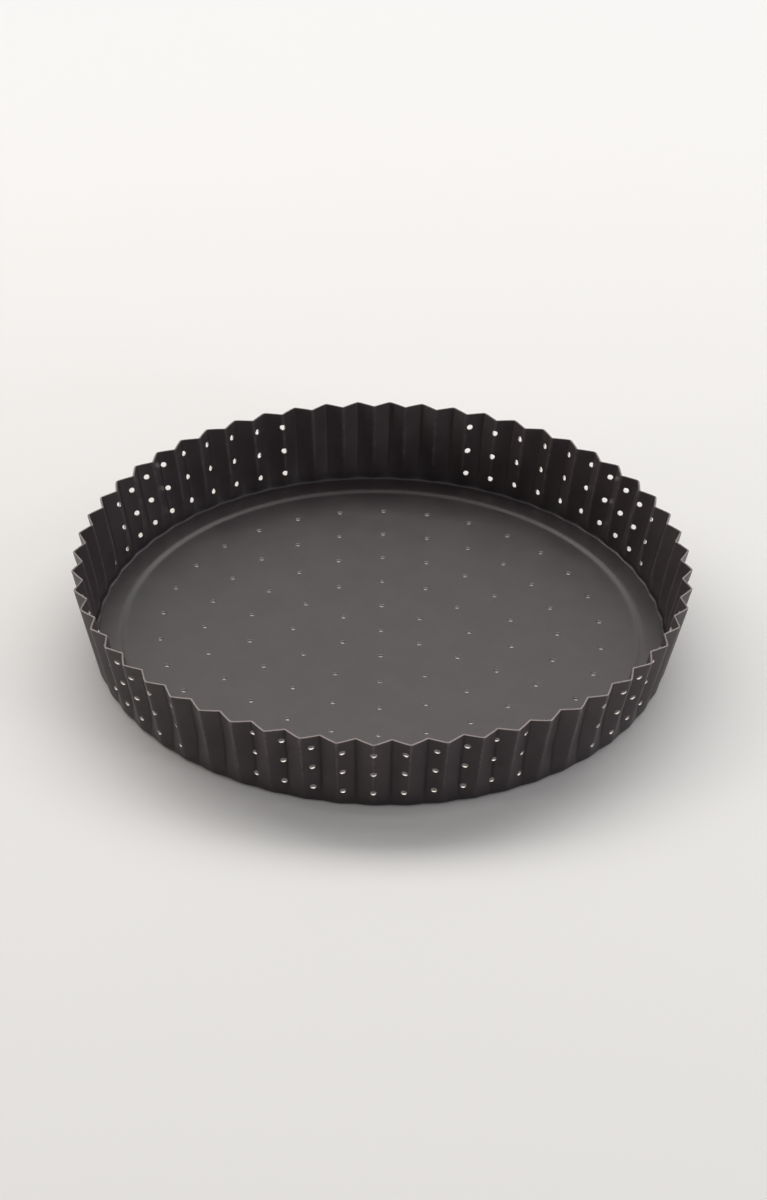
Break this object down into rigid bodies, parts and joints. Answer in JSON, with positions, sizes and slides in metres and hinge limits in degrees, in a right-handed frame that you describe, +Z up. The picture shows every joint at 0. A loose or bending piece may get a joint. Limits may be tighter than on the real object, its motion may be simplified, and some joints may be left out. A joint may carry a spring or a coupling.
{
  "type": "fluted quiche tin",
  "caption": "Round flaring tin with a zigzag fluted wall, rows of small round holes and a loose perforated base that lifts out.",
  "frame": {"origin": "centre of the underside, on the surface the tin stands on", "axes": "+Z up along the tin's axis, -Y towards the front of the picture, +X to its right"},
  "size_m": [0.25, 0.25, 0.035],
  "materials": {
    "ring_coating": "satin dark brown-black non-stick coating",
    "base_coating": "satin dark brown-black non-stick coating"
  },
  "bodies": {
    "root": {"fluted_ring": "ring_coating", "loose_base": "base_coating"}
  },
  "joints": []
}
